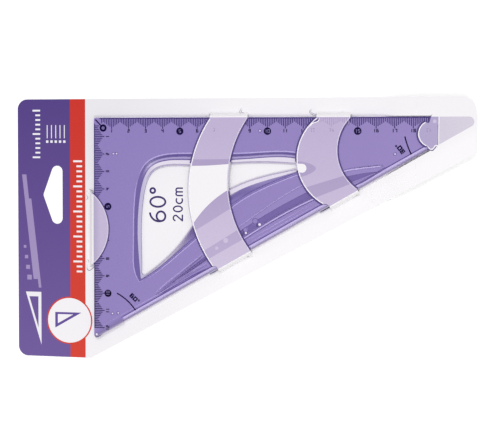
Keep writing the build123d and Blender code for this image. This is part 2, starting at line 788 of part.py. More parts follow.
with BuildPart() as tip_pocket:
    add(end_rise.part)
    with BuildSketch(level(0)):
        sheet_beside_square()
        raised_end(mode=Mode.INTERSECT)
    extrude(amount=Z_OVER, mode=Mode.INTERSECT)
    for bed in (pocket_print, tip_print):
        add(bed.part, mode=Mode.SUBTRACT)
tip_pocket.part.label = "tip_pocket"

with BuildPart() as hang_card:
    with BuildSketch(level(0)):
        sheet_beside_square()
        raised_end(mode=Mode.SUBTRACT)
    extrude(amount=CARD_T)
    # The part that stays flat under the square
    with BuildSketch(level(0)):
        triangle(margin=PLAN_GAP)
        past_pocket(mode=Mode.SUBTRACT)
        windows()
    extrude(amount=CARD_T)
    # Curled slit ends
    with BuildSketch(level(0)):
        hook((66.9, 2.4), (65.0, 1.2), (62.6, 3.2))
        hook((88.3, 3.4), (86.2, 3.0), (83.6, 5.6))
        hook((126.9, 2.4), (124.6, 1.8), (122.4, 4.6))
        hook((145.5, 2.4), (143.2, 2.0), (141.4, 4.0))
        hook((92.0, -77.0), (89.8, -77.6), (87.2, -76.9))
        hook((151.3, -42.2), (149.4, -42.6), (147.8, -42.1))
        hook((-5.0, -41.0), (-6.0, -42.6), (-5.2, -44.4))
        hook((-5.0, -84.6), (-6.0, -83.0), (-5.2, -81.2))
    extrude(amount=CARD_T, mode=Mode.SUBTRACT)
    # Shallow beds of the printed fields
    for bed in PRINTED_BEDS:
        add(bed.part, mode=Mode.SUBTRACT)
hang_card.part.label = "hang_card"

PIECES = (
    set_square,
    long_scale_print,
    short_scale_print,
    zero_mark_print,
    angle_60_print,
    angle_30_print,
    hang_card,
    tip_pocket,
    strap_wide,
    strap_narrow,
    strap_wide_print,
    strap_wide_shade_print,
    strap_narrow_print,
    strap_narrow_shade_print,
    pocket_print,
    tip_print,
    size_print,
    header_print,
    header_band_print,
    header_white_print,
    header_motif_print,
    badge_print,
    badge_icon_print,
    tuck_tab,
    tuck_tab_print,
)
for piece in PIECES:
    export_step(piece.part, f"parts/{piece.part.label}.step")
    print(piece.part.label, len(piece.part.solids()), round(piece.part.volume, 2), piece.part.is_valid)
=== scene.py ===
"""Looks of a 60 degree set square on its die-cut hang card.

Plan points are in millimetres from the common zero of the square's two scales, heights in
millimetres above the back of the card. at() turns them into the frame's metres.
"""
from collections import namedtuple
from math import atan2, cos, hypot, pi, radians, sin

import bmesh
import bpy
from mathutils import Euler, Matrix, Vector


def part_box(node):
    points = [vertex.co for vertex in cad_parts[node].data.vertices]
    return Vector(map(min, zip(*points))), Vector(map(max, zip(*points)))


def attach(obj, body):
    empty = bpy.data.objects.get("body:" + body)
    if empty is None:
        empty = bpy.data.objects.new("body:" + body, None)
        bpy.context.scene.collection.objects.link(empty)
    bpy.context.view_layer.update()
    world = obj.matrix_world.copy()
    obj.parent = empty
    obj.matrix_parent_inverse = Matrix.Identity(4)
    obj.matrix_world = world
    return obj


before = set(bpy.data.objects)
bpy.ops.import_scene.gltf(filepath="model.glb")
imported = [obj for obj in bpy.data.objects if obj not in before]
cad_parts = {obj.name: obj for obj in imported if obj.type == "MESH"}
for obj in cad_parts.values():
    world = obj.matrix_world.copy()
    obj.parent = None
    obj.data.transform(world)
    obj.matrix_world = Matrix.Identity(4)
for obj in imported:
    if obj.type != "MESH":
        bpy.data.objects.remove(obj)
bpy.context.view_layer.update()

MM = 0.001

# Places that follow the frame
square_low, square_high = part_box("set_square")
ZERO_INSET = 0.6                    # from the square's left and top edges to the scales' common zero
ZERO = (square_low.x / MM + ZERO_INSET, square_high.y / MM - ZERO_INSET)
SHEET = square_low.z / MM           # top of the card's flat part
FACE = square_high.z / MM           # top of the square
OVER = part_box("strap_wide")[1].z / MM   # top of the card where it passes over the square
LIP = 1.4                           # top of the thin lip around the opening
LEAF_FLOOR = 1.9                    # deepest facet of the leaf recess
TICKS_END = 5.0                     # between the scales' ticks and their figures, from the zero line

# Body that a piece rides on, paired with a material slot's name
ON_SQUARE = ("square", "violet_plastic")
ON_CARD = ("card", "white_card")
ON_TAB = ("tab", "white_card")
ON_PICTURES = ("card", "lilac_ink")
X_AXIS, Y_AXIS = 0, 1


def at(x, y, z=0.0):
    """Point of the frame, in metres, from plan and height in millimetres."""
    return Vector(((ZERO[0] + x) * MM, (ZERO[1] + y) * MM, z * MM))


def linear(red, green, blue):
    """Linear colour of an sRGB colour given from 0 to 255."""
    def channel(value):
        share = value / 255
        return share / 12.92 if share <= 0.04045 else ((share + 0.055) / 1.055) ** 2.4

    return (channel(red), channel(green), channel(blue), 1.0)


# ---------------------------------------------------------------- camera, lamps and floor

LENS = 77.05                                 # millimetres, as is the sensor's width
SENSOR = 36
CAMERA_AT = (0.10940, 0.03562, 0.57951)      # metres
CAMERA_TURN = (2.8705, -10.2800, -0.8135)    # degrees, from the frame to the camera


def add_camera():
    data = bpy.data.cameras.new("camera")
    data.lens = LENS
    data.sensor_width = SENSOR
    data.clip_start = 0.01
    data.clip_end = 20
    camera = bpy.data.objects.new("camera", data)
    turn = Euler([radians(angle) for angle in CAMERA_TURN], "XYZ").to_matrix().transposed()
    camera.matrix_world = Matrix.Translation(CAMERA_AT) @ turn.to_4x4()
    bpy.context.scene.collection.objects.link(camera)
    bpy.context.scene.camera = camera


LAMP_SIDE = 0.5       # metres, as are the lamps' places
LAMP_POWER = 5.8      # watts
LAMPS = {"lamp_above": (-0.1, 0.8, 1.15), "lamp_below": (0.25, -0.85, 1.15)}


def add_lamps():
    """Two broad soft lamps aimed at the middle of the card, out of its mirror directions to the camera."""
    for name, place in LAMPS.items():
        data = bpy.data.lights.new(name, "AREA")
        data.shape = "SQUARE"
        data.size = LAMP_SIDE
        data.energy = LAMP_POWER
        lamp = bpy.data.objects.new(name, data)
        lamp.location = place
        lamp.rotation_euler = (-Vector(place)).to_track_quat("-Z", "Y").to_euler()
        lamp.visible_camera = False
        bpy.context.scene.collection.objects.link(lamp)


class Graph:
    """A material's or world's node tree, built by short calls."""

    def __init__(self, tree):
        self.tree = tree
        tree.nodes.clear()

    def node(self, kind, **settings):
        made = self.tree.nodes.new(kind)
        for name, value in settings.items():
            setattr(made, name, value)
        return made

    def join(self, source, target):
        self.tree.links.new(source, target)

    def feed(self, socket, value):
        """Sets a socket from a number or colour, or links it from another socket."""
        if isinstance(value, bpy.types.NodeSocket):
            self.join(value, socket)
        else:
            socket.default_value = value

    def math(self, operation, first, second):
        made = self.node("ShaderNodeMath", operation=operation)
        self.feed(made.inputs[0], first)
        self.feed(made.inputs[1], second)
        return made.outputs[0]

    def mix(self, share, first, second):
        made = self.node("ShaderNodeMix", data_type="RGBA")
        self.feed(made.inputs["Factor"], share)
        self.feed(made.inputs["A"], first)
        self.feed(made.inputs["B"], second)
        return made.outputs["Result"]

    def ramp(self, value, low, high, first=0.0, last=1.0):
        """Value mapped from low..high to first..last, and held there outside."""
        made = self.node("ShaderNodeMapRange", clamp=True)
        self.feed(made.inputs["Value"], value)
        made.inputs["From Min"].default_value = low
        made.inputs["From Max"].default_value = high
        made.inputs["To Min"].default_value = first
        made.inputs["To Max"].default_value = last
        return made.outputs["Result"]

    def bands(self, value, *stops):
        """Colour that runs through stops of value and colour, in rising order of value."""
        low, high = stops[0][0], stops[-1][0]
        made = self.node("ShaderNodeValToRGB")
        self.join(self.ramp(value, low, high), made.inputs["Fac"])
        points = made.color_ramp.elements
        while len(points) < len(stops):
            points.new(0.5)
        for point, (at_value, colour) in zip(points, stops):
            point.position = (at_value - low) / (high - low)
            point.color = colour
        return made.outputs["Color"]

    def place(self):
        """Coordinates of the object's own frame, as three sockets in metres."""
        made = self.node("ShaderNodeSeparateXYZ")
        self.join(self.node("ShaderNodeTexCoord").outputs["Object"], made.inputs[0])
        return made.outputs

    def plan(self):
        """Distances across and up from the common zero, and height, as three sockets in millimetres."""
        x, y, z = (self.math("DIVIDE", socket, MM) for socket in self.place())
        return self.math("SUBTRACT", x, ZERO[0]), self.math("SUBTRACT", y, ZERO[1]), z

    def facing(self):
        """The surface's own direction, as three sockets."""
        made = self.node("ShaderNodeSeparateXYZ")
        self.join(self.node("ShaderNodeTexCoord").outputs["Normal"], made.inputs[0])
        return made.outputs

    def noise(self, size, detail=2.0, stretch=(1, 1, 1)):
        """Noise from 0 to 1 whose features are about size metres."""
        scaled = self.node("ShaderNodeMapping")
        self.join(self.node("ShaderNodeTexCoord").outputs["Object"], scaled.inputs["Vector"])
        scaled.inputs["Scale"].default_value = stretch
        made = self.node("ShaderNodeTexNoise")
        self.join(scaled.outputs["Vector"], made.inputs["Vector"])
        made.inputs["Scale"].default_value = 1 / size
        made.inputs["Detail"].default_value = detail
        return made.outputs["Fac"]

    def bump(self, height, distance):
        made = self.node("ShaderNodeBump")
        self.join(height, made.inputs["Height"])
        made.inputs["Distance"].default_value = distance
        return made.outputs["Normal"]


def surface(name):
    """A new material, its graph and its shader, already joined to the output."""
    material = bpy.data.materials.new(name)
    material.use_nodes = True
    graph = Graph(material.node_tree)
    shader = graph.node("ShaderNodeBsdfPrincipled")
    graph.join(shader.outputs[0], graph.node("ShaderNodeOutputMaterial").inputs["Surface"])
    return material, graph, shader


def background_share(graph):
    """1 for rays that should see a plain white background, else 0."""
    path = graph.node("ShaderNodeLightPath")
    seen = graph.math("MAXIMUM", path.outputs["Is Camera Ray"], path.outputs["Is Glossy Ray"])
    return graph.math("MAXIMUM", seen, path.outputs["Is Transmission Ray"])


WORLD_LIGHT = 0.56


def add_world():
    world = bpy.data.worlds.new("world")
    world.use_nodes = True
    graph = Graph(world.node_tree)
    light = graph.node("ShaderNodeBackground")
    light.inputs["Color"].default_value = (1, 1, 1, 1)
    strength = graph.ramp(background_share(graph), 0, 1, WORLD_LIGHT, 1.0)
    graph.join(strength, light.inputs["Strength"])
    graph.join(light.outputs[0], graph.node("ShaderNodeOutputWorld").inputs["Surface"])
    bpy.context.scene.world = world


FLOOR_SIDE = 6.0      # metres
FLOOR_DROP = 0.05     # millimetres that the floor lies below the card's back
FLOOR_TONE = (0.88, 0.88, 0.88, 1)
FLOOR_LIFT = 0.3      # brings the floor's unshaded part up to white for the camera alone


def add_floor():
    mesh = bpy.data.meshes.new("floor")
    half = FLOOR_SIDE / 2
    plan = ((-half, -half), (half, -half), (half, half), (-half, half))
    mesh.from_pydata([(x, y, -FLOOR_DROP * MM) for x, y in plan], [], [(0, 1, 2, 3)])
    floor = bpy.data.objects.new("floor", mesh)
    bpy.context.scene.collection.objects.link(floor)
    material = bpy.data.materials.new("floor_white")
    material.use_nodes = True
    graph = Graph(material.node_tree)
    matt = graph.node("ShaderNodeBsdfDiffuse")
    matt.inputs["Color"].default_value = FLOOR_TONE
    lift = graph.node("ShaderNodeEmission")
    graph.join(graph.ramp(background_share(graph), 0, 1, 0, FLOOR_LIFT), lift.inputs["Strength"])
    both = graph.node("ShaderNodeAddShader")
    graph.join(matt.outputs[0], both.inputs[0])
    graph.join(lift.outputs[0], both.inputs[1])
    graph.join(both.outputs[0], graph.node("ShaderNodeOutputMaterial").inputs["Surface"])
    mesh.materials.append(material)


# ---------------------------------------------------------------- materials

VIOLET = linear(146, 128, 196)
# painted light: the plastic's lighter tone towards the tip and lower right
VIOLET_LIT = linear(159, 140, 203)
# painted shade of slopes that face neither up nor down the card
VIOLET_SLOPE_SHADE = linear(114, 97, 168)
VIOLET_BAND = linear(160, 142, 206)
VIOLET_LEAF = linear(116, 96, 168)
LIP_PALE = linear(240, 233, 250)
LIP_LEFT = linear(205, 197, 228)
# painted shadow of the wide strap on the lip's lower side
LIP_STRAP_SHADE = linear(118, 100, 158)
# painted shade towards the card's head and painted light at its foot, below the square
CARD_HEAD_SHADE = linear(233, 231, 235)
CARD_TONE = linear(245, 242, 246)
CARD_FOOT_LIGHT = linear(250, 248, 250)
CARD_FIBRE = linear(212, 207, 217)
OUT = (sin(radians(30)), -cos(radians(30)))     # plan direction out across the square's long edge
ALONG = (OUT[1], -OUT[0])                       # and along that edge, from the tip
TIP_AT = (219.9, 0.6)                           # sharp 30 degree corner of the square's outline
BEVEL = 3.45                                    # width of the rounded long edge with its groove
BEVEL_BLEND = 0.1                               # width of the change between its tones and the face's
HEEL_FADE = (17.5, 16.0)                        # stations where its bands give way to those of its foot

# Heights over which the plastic's tone changes at a step, in millimetres
LEAF_STEP = (2.35, 2.25)
INNER_LEAF_STEP = (2.1, 1.95)
LIP_STEP = (1.6, 1.5)

# Stretches over which the lip's tone changes, across and up from the common zero
LIP_PALE_FROM = (28, 36)
LIP_SHADE_FROM = (40, 56)
LIP_SHADE_TO = (74, 70)
LIP_SHADE_BELOW = (-40, -45)

# Shares of a surface's direction at which a facet counts as sloped, as facing down or as facing up the card,
# which pick its painted light and shade
SLOPED = (0.99, 0.97)
FACING_UP = (0.2, 0.35)
FACING_DOWN = (-0.12, -0.25)


def inside_long_edge(graph, place):
    """Distance from the square's long edge into the square, in millimetres."""
    tip = at(*TIP_AT)
    edge = tip.x * OUT[0] + tip.y * OUT[1]
    out_x = graph.math("MULTIPLY", place[X_AXIS], OUT[0])
    out_y = graph.math("MULTIPLY", place[Y_AXIS], OUT[1])
    return graph.math("DIVIDE", graph.math("SUBTRACT", edge, graph.math("ADD", out_x, out_y)), MM)


def lip_colour(graph):
    """Tone of the thin lip: pale, duller on the left and deep where the wide strap shades its lower side."""
    across, up, _ = graph.plan()
    tone = graph.mix(graph.ramp(across, *LIP_PALE_FROM), LIP_LEFT, LIP_PALE)
    beside = graph.math("MULTIPLY", graph.ramp(across, *LIP_SHADE_FROM), graph.ramp(across, *LIP_SHADE_TO))
    shaded = graph.math("MULTIPLY", beside, graph.ramp(up, *LIP_SHADE_BELOW))
    return graph.mix(shaded, tone, LIP_STRAP_SHADE)


def upper_slope_light_and_shade(graph, height):
    """Painted highlight and painted shade bands down the slope above the opening, by height in millimetres.
    """
    return graph.bands(
        height,
        (1.42, linear(150, 136, 192)),
        (1.48, linear(96, 79, 150)),
        (1.56, linear(98, 82, 152)),
        (1.66, linear(164, 150, 206)),
        (1.86, linear(182, 168, 220)),
        (1.98, linear(150, 135, 194)),
        (2.08, linear(94, 77, 150)),
        (2.42, linear(92, 75, 148)),
        (FACE, linear(140, 124, 190)),
    )


def lower_slope_light_and_shade(graph, height):
    """Painted light and shade of the slope below the opening, a painted shade at its top edge, by height in
    millimetres.
    """
    return graph.bands(
        height,
        (1.42, linear(160, 147, 198)),
        (1.7, linear(150, 134, 195)),
        (2.15, linear(144, 127, 191)),
        (2.32, linear(96, 79, 152)),
        (FACE, linear(86, 69, 142)),
    )


def bevel_light_and_shade(graph, inside, across):
    """Painted highlight and painted shade bands along the rounded long edge, by distance inside it, and the
    plainer ones of its foot.
    """
    bevel = graph.bands(
        inside,
        (0.0, linear(226, 220, 236)),
        (0.45, linear(178, 168, 198)),
        (0.95, linear(128, 113, 164)),
        (1.35, linear(152, 137, 190)),
        (1.9, linear(202, 187, 238)),
        (2.45, linear(214, 199, 248)),
        (2.75, linear(190, 173, 230)),
        (3.0, linear(98, 80, 152)),
        (3.25, linear(108, 90, 160)),
        (BEVEL, linear(150, 132, 198)),
    )
    heel = graph.bands(
        inside,
        (0.2, linear(188, 178, 206)),
        (0.7, linear(150, 136, 184)),
        (1.5, linear(134, 119, 174)),
        (2.2, linear(140, 124, 182)),
        (3.0, VIOLET),
    )
    return graph.mix(graph.ramp(across, *HEEL_FADE), bevel, heel)


def flat_colour(graph, place, height):
    """Tone of the flat facets: lighter towards the tip as painted light, in bands down the leaf, pale on the
    lip.
    """
    # share of painted light, rising towards the tip and lower right
    lit_share = graph.ramp(graph.math("SUBTRACT", place[X_AXIS], place[Y_AXIS]), -0.11, 0.06)
    cloud = graph.math("MULTIPLY", graph.ramp(graph.noise(0.05, 3), 0.3, 0.7), 0.15)
    body = graph.mix(graph.math("ADD", graph.math("MULTIPLY", lit_share, 0.85), cloud), VIOLET, VIOLET_LIT)
    body = graph.mix(graph.math("MULTIPLY", graph.ramp(height, *LEAF_STEP), 0.6), body, VIOLET_BAND)
    body = graph.mix(graph.math("MULTIPLY", graph.ramp(height, *INNER_LEAF_STEP), 0.9), body, VIOLET_LEAF)
    return graph.mix(graph.ramp(height, *LIP_STEP), body, lip_colour(graph))


def plastic_material():
    """Translucent violet plastic: deeper in the leaf, with painted shade and highlights on slopes and in
    bands along the long edge, and painted light towards the tip.
    """
    material, graph, shader = surface("violet_plastic_moulded")
    place = graph.place()
    across, _, height = graph.plan()
    _, facing_y, facing_z = graph.facing()
    # painted shade and highlights of the slopes, chosen by which way they face
    slope = graph.mix(graph.ramp(facing_y, *FACING_UP), VIOLET_SLOPE_SHADE, lower_slope_light_and_shade(graph, height))
    slope = graph.mix(graph.ramp(facing_y, *FACING_DOWN), slope, upper_slope_light_and_shade(graph, height))
    colour = graph.mix(graph.ramp(facing_z, *SLOPED), flat_colour(graph, place, height), slope)
    inside = inside_long_edge(graph, place)
    # painted highlight and shade bands of the rounded long edge
    bevel = bevel_light_and_shade(graph, inside, across)
    colour = graph.mix(graph.ramp(inside, BEVEL + BEVEL_BLEND, BEVEL), colour, bevel)
    graph.join(colour, shader.inputs["Base Color"])
    shader.inputs["Alpha"].default_value = 0.88
    shader.inputs["IOR"].default_value = 1.48
    rough = graph.ramp(graph.noise(0.004, 3), 0.3, 0.7, 0.22, 0.34)
    graph.join(rough, shader.inputs["Roughness"])
    ripple = graph.bump(graph.noise(0.003, 2), 0.00001)
    graph.join(ripple, shader.inputs["Normal"])
    return material


def moulded_line_with_painted_light(name, tone, rough=0.25):
    """Plastic of a moulded line or ridge, coloured as a painted highlight or painted shade, a little uneven
    along its length.
    """
    material, graph, shader = surface(name)
    uneven = graph.ramp(graph.noise(0.006, 2), 0.3, 0.7, 0, 0.15)
    graph.join(graph.mix(uneven, linear(*tone), VIOLET), shader.inputs["Base Color"])
    graph.join(graph.ramp(graph.noise(0.002, 2), 0.3, 0.7, rough, rough + 0.15), shader.inputs["Roughness"])
    return material


# Stretches of the card over which its painted shade and painted light change
CARD_HEAD_FADE = (-0.14, -0.06)     # x less y, in metres
CARD_FOOT_FADE = (1.0, -6.0)        # distance inside the square's long edge, in millimetres
CARD_FOOT_FROM = (-0.05, 0.0)       # x, in metres


def card_material():
    """Smooth white board: painted shade towards its head and left, painted light at its foot, fibres and a
    soft print sheen.
    """
    material, graph, shader = surface("card_white_coated")
    place = graph.place()
    from_head = graph.ramp(graph.math("SUBTRACT", place[X_AXIS], place[Y_AXIS]), *CARD_HEAD_FADE)
    tone = graph.mix(from_head, CARD_HEAD_SHADE, CARD_TONE)
    below = graph.ramp(inside_long_edge(graph, place), *CARD_FOOT_FADE)
    at_foot = graph.math("MULTIPLY", below, graph.ramp(place[X_AXIS], *CARD_FOOT_FROM))
    tone = graph.mix(at_foot, tone, CARD_FOOT_LIGHT)
    fibre = graph.noise(0.0012, 4, (1, 2.5, 1))
    tone = graph.mix(graph.ramp(fibre, 0.35, 0.75, 0, 0.05), tone, CARD_FIBRE)
    graph.join(tone, shader.inputs["Base Color"])
    graph.join(graph.ramp(fibre, 0.3, 0.7, 0.5, 0.62), shader.inputs["Roughness"])
    graph.join(graph.bump(fibre, 0.00002), shader.inputs["Normal"])
    shader.inputs["Specular IOR Level"].default_value = 0.3
    return material


BLACK = (0, 0, 0, 1)
INK_SPECK = (0.02, 0.01, 0.05, 1)
INK_FOOT_FADE = (0.015, -0.035)     # up the card, in metres


def ink_material(name, first, last, axis, span, grain=0.05, foot=1.0, shine=0.3):
    """Offset print: a tone that runs from first to last over a span of an axis, with the screen's fine grain.

    At the foot of the card its tone is multiplied by foot.
    """
    material, graph, shader = surface(name)
    place = graph.place()
    tone = graph.mix(graph.ramp(place[axis], *span), linear(*first), linear(*last))
    deeper = graph.mix(1 - foot, tone, BLACK)
    tone = graph.mix(graph.ramp(place[Y_AXIS], *INK_FOOT_FADE), tone, deeper)
    speck = graph.noise(0.0006, 3)
    grained = graph.mix(graph.ramp(speck, 0.35, 0.7, 0, grain), tone, INK_SPECK)
    graph.join(grained, shader.inputs["Base Color"])
    graph.join(graph.ramp(speck, 0.3, 0.7, 0.4, 0.52), shader.inputs["Roughness"])
    graph.join(graph.bump(speck, 0.00001), shader.inputs["Normal"])
    shader.inputs["Specular IOR Level"].default_value = shine
    return material


def dress(material, *nodes):
    for name in nodes:
        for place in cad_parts[name].material_slots:
            place.material = material


TICK_TONE, FIGURE_TONE = (58, 46, 108), (12, 3, 54)
SCALE_FADE = 0.3            # between the tones of the ticks and the figures, in millimetres
TAB_ROOT_SHADE = 4.0              # width of the painted shade at the tab's root, beside the square's left edge, in millimetres

# Name, tone at the start and end of a span, its axis and the span in metres, and the nodes that it prints
CARD_INKS = (
    ("pale_lilac_print", (208, 196, 223), (191, 177, 211), Y_AXIS, (-0.02, 0.055),
     ("strap_wide_print", "strap_narrow_print")),
    ("lilac_shade_print", (186, 172, 207), (174, 159, 198), Y_AXIS, (-0.01, 0.03),
     ("strap_wide_shade_print", "strap_narrow_shade_print")),
    ("pocket_lilac_print", (176, 164, 203), (181, 168, 206), X_AXIS, (0.1, 0.12), ("pocket_print",)),
    ("tip_grey_print", (211, 204, 221), (215, 209, 224), X_AXIS, (0.11, 0.13), ("tip_print",)),
    ("size_violet_print", (50, 35, 98), (54, 39, 102), Y_AXIS, (0.0, 0.02), ("size_print",)),
    ("header_violet_print", (110, 87, 154), (77, 54, 128), Y_AXIS, (-0.075, 0.075), ("header_print",)),
    ("header_red_print", (214, 62, 44), (202, 40, 24), Y_AXIS, (-0.075, 0.075),
     ("header_band_print", "badge_print")),
    ("header_pale_print", (163, 146, 192), (158, 140, 188), Y_AXIS, (-0.04, 0.03), ("header_motif_print",)),
    ("badge_violet_print", (100, 78, 152), (94, 70, 148), Y_AXIS, (-0.06, -0.04), ("badge_icon_print",)),
)


def around(value, half):
    """Span in metres about a value, both given in millimetres."""
    return (value - half) * MM, (value + half) * MM


def dress_square():
    """Plastic and scale inks of the square's own nodes."""
    dress(plastic_material(), "set_square")
    span = around(ZERO[1] - TICKS_END, SCALE_FADE)
    ink = ink_material("long_scale_ink", FIGURE_TONE, TICK_TONE, Y_AXIS, span, shine=0.08)
    dress(ink, "long_scale_print")
    span = around(ZERO[0] + TICKS_END, SCALE_FADE)
    ink = ink_material("short_scale_ink", TICK_TONE, FIGURE_TONE, X_AXIS, span, foot=0.5, shine=0.08)
    dress(ink, "short_scale_print")
    ink = ink_material("mark_ink", FIGURE_TONE, (14, 4, 54), X_AXIS, (-0.08, 0.12), shine=0.05)
    dress(ink, "zero_mark_print", "angle_60_print", "angle_30_print")


def dress_card():
    """Board and printing of the card's and the tab's own nodes."""
    dress(card_material(), "hang_card", "tip_pocket", "strap_wide", "strap_narrow", "tuck_tab")
    for name, first, last, axis, span, nodes in CARD_INKS:
        dress(ink_material(name, first, last, axis, span), *nodes)
    # the tab's lilac print, darker at its root as a painted shade
    tab_span = (square_low.x, square_low.x + TAB_ROOT_SHADE * MM)
    tab_ink = ink_material("tab_lilac_print_root_shade", (176, 167, 199), (197, 184, 215), X_AXIS, tab_span)
    dress(tab_ink, "tuck_tab_print")
    white_tones = ((240, 238, 243), (242, 240, 245))
    white_ink = ink_material("header_white_figures", *white_tones, Y_AXIS, (-0.07, 0.07), grain=0.02)
    dress(white_ink, "header_white_print")


# ---------------------------------------------------------------- lines, ridges and plates

def arc(first, middle, last, count=40):
    """Plan points of the circle's arc through three points."""
    (ax, ay), (bx, by), (cx, cy) = first, middle, last
    twice = 2 * (ax * (by - cy) + bx * (cy - ay) + cx * (ay - by))
    a2, b2, c2 = ax * ax + ay * ay, bx * bx + by * by, cx * cx + cy * cy
    x = (a2 * (by - cy) + b2 * (cy - ay) + c2 * (ay - by)) / twice
    y = (a2 * (cx - bx) + b2 * (ax - cx) + c2 * (bx - ax)) / twice
    radius = hypot(ax - x, ay - y)
    start, through, stop = (atan2(q - y, p - x) for p, q in (first, middle, last))
    swing = (stop - start) % (2 * pi)
    if (through - start) % (2 * pi) > swing:
        swing -= 2 * pi
    angles = [start + swing * step / count for step in range(count + 1)]
    return [(x + radius * cos(angle), y + radius * sin(angle)) for angle in angles]


def smooth(points, count=10):
    """Plan points of a smooth curve through given ones."""
    ends = [Vector(p) for p in (points[0], *points, points[-1])]
    found = []
    for a, b, c, d in zip(ends, ends[1:], ends[2:], ends[3:]):
        for step in range(count):
            t = step / count
            found.append(0.5 * (2 * b + (c - a) * t + (2 * a - 5 * b + 4 * c - d) * t * t
                                + (3 * b - a - 3 * c + d) * t ** 3))
    return [tuple(p) for p in found] + [tuple(points[-1])]


def length(path):
    return sum(hypot(q[0] - p[0], q[1] - p[1]) for p, q in zip(path, path[1:]))


def sides(path, closed):
    """Unit plan vectors to the left of a path at each of its points."""
    found = []
    for index, point in enumerate(path):
        before = path[index - 1] if closed or index else point
        after = path[(index + 1) % len(path)] if closed or index + 1 < len(path) else point
        along = Vector((after[0] - before[0], after[1] - before[1])).normalized()
        found.append(Vector((-along.y, along.x)))
    return found


def shifted(path, distance):
    """An open path moved to its left by a distance."""
    return [(x + side.x * distance, y + side.y * distance) for (x, y), side in zip(path, sides(path, False))]


def edge_loops(height):
    """Closed chains of the square's edges that part a flat facet at a height from a wall or slope.

    Each chain is given as plan points.
    """
    mesh = bmesh.new()
    mesh.from_mesh(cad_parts["set_square"].data)
    bmesh.ops.remove_doubles(mesh, verts=mesh.verts, dist=1e-6)
    mesh.normal_update()
    beside = {}
    for edge in mesh.edges:
        level = all(abs(corner.co.z / MM - height) < 1e-3 for corner in edge.verts)
        if level and sorted(abs(face.normal.z) > 0.999 for face in edge.link_faces) == [False, True]:
            first, last = edge.verts
            beside.setdefault(first, []).append(last)
            beside.setdefault(last, []).append(first)
    loops = []
    left = dict.fromkeys(beside)
    while left:
        corner = next(iter(left))
        chain = []
        while corner is not None:
            left.pop(corner)
            chain.append((corner.co.x / MM - ZERO[0], corner.co.y / MM - ZERO[1]))
            corner = next((other for other in beside[corner] if other in left), None)
        loops.append(chain)
    mesh.free()
    return loops


def loop_at(height, point):
    """The square's edge loop at a height that passes nearest to a plan point."""
    return min(
        (loop for loop in edge_loops(height) if len(loop) > 3),
        key=lambda loop: min(hypot(x - point[0], y - point[1]) for x, y in loop),
    )


def add_mesh(name, points, faces, material, carrier):
    """A piece of the given mesh, on a carrier: the body that it rides on, and a material slot that is not
    used.
    """
    body, slot = carrier
    mesh = bpy.data.meshes.new(name)
    mesh.from_pydata(points, [], faces)
    mesh.materials.append(material)
    piece = bpy.data.objects.new(name, mesh)
    bpy.context.scene.collection.objects.link(piece)
    clean = bmesh.new()
    clean.from_mesh(mesh)
    bmesh.ops.recalc_face_normals(clean, faces=clean.faces)
    clean.to_mesh(mesh)
    clean.free()
    for face in mesh.polygons:
        face.use_smooth = True
    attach(piece, body)
    return piece


# Section of a ridge above its foot: share of its width to the left, share of its height up
RIDGE_SECTION = ((-0.5, 0.0), (-0.36, 0.6), (0.0, 1.0), (0.36, 0.6), (0.5, 0.0))

# Width, height above the base, depth below the base, and the distance over which each end thins out, all in
# millimetres, and whether the ridge closes on itself
Ridge = namedtuple("Ridge", "width height root taper closed", defaults=(0.06, 0.0, False))
THINNEST = 0.1              # share of its width that a thinned end starts from


def tapers(path, taper):
    """Share of full width at each point of a path that thins out towards both ends over a distance."""
    if not taper:
        return [1.0] * len(path)
    from_start = [length(path[:index + 1]) for index in range(len(path))]
    return [min(1.0, THINNEST + min(gone, from_start[-1] - gone) / taper) for gone in from_start]


def ridge_mesh(paths, base, ridge):
    """Points and faces of low half-round ridges along plan paths, each closed at its ends."""
    points, faces = [], []
    half = 0.5 * ridge.width
    section = [(-half, -ridge.root)]
    section += [(across * ridge.width, up * ridge.height) for across, up in RIDGE_SECTION]
    section.append((half, -ridge.root))
    count = len(section)
    for path in paths:
        first = len(points)
        for (x, y), side, share in zip(path, sides(path, ridge.closed), tapers(path, ridge.taper)):
            for across, up in section:
                across *= share
                points.append(at(x + side.x * across, y + side.y * across, base + up))
        rings = len(path)
        for ring in range(rings if ridge.closed else rings - 1):
            here = first + ring * count
            there = first + (ring + 1) % rings * count
            for step in range(count):
                after = (step + 1) % count
                faces.append((here + step, here + after, there + after, there + step))
        if not ridge.closed:
            faces.append(tuple(first + step for step in range(count)))
            faces.append(tuple(first + (rings - 1) * count + step for step in reversed(range(count))))
    return points, faces


def add_ridges(name, paths, base, ridge, material, carrier):
    """Low ridges along plan paths, joined into one piece."""
    points, faces = ridge_mesh(paths, base, ridge)
    return add_mesh(name, points, faces, material, carrier)


def stretch(loop, first, last):
    """The shorter way round a closed loop between its points nearest to two others."""
    def nearest(point):
        gaps = [hypot(x - point[0], y - point[1]) for x, y in loop]
        return gaps.index(min(gaps))

    here, there = nearest(first), nearest(last)
    onward = [loop[(here + step) % len(loop)] for step in range((there - here) % len(loop) + 1)]
    back = [loop[(here - step) % len(loop)] for step in range((here - there) % len(loop) + 1)]
    return min(onward, back, key=length)


def outward(path, distance):
    """The path moved sideways by a distance, away from the square's opening."""
    half_way = len(path) // 2
    middle = path[half_way]
    side = sides(path, False)[half_way]
    leads_out = side.x * (middle[0] - HOLE_CENTRE[0]) + side.y * (middle[1] - HOLE_CENTRE[1]) > 0
    return shifted(path, distance if leads_out else -distance)


def circle(centre, radius, count=20):
    turns = [2 * pi * step / count for step in range(count)]
    return [(centre[0] + radius * cos(turn), centre[1] + radius * sin(turn)) for turn in turns]


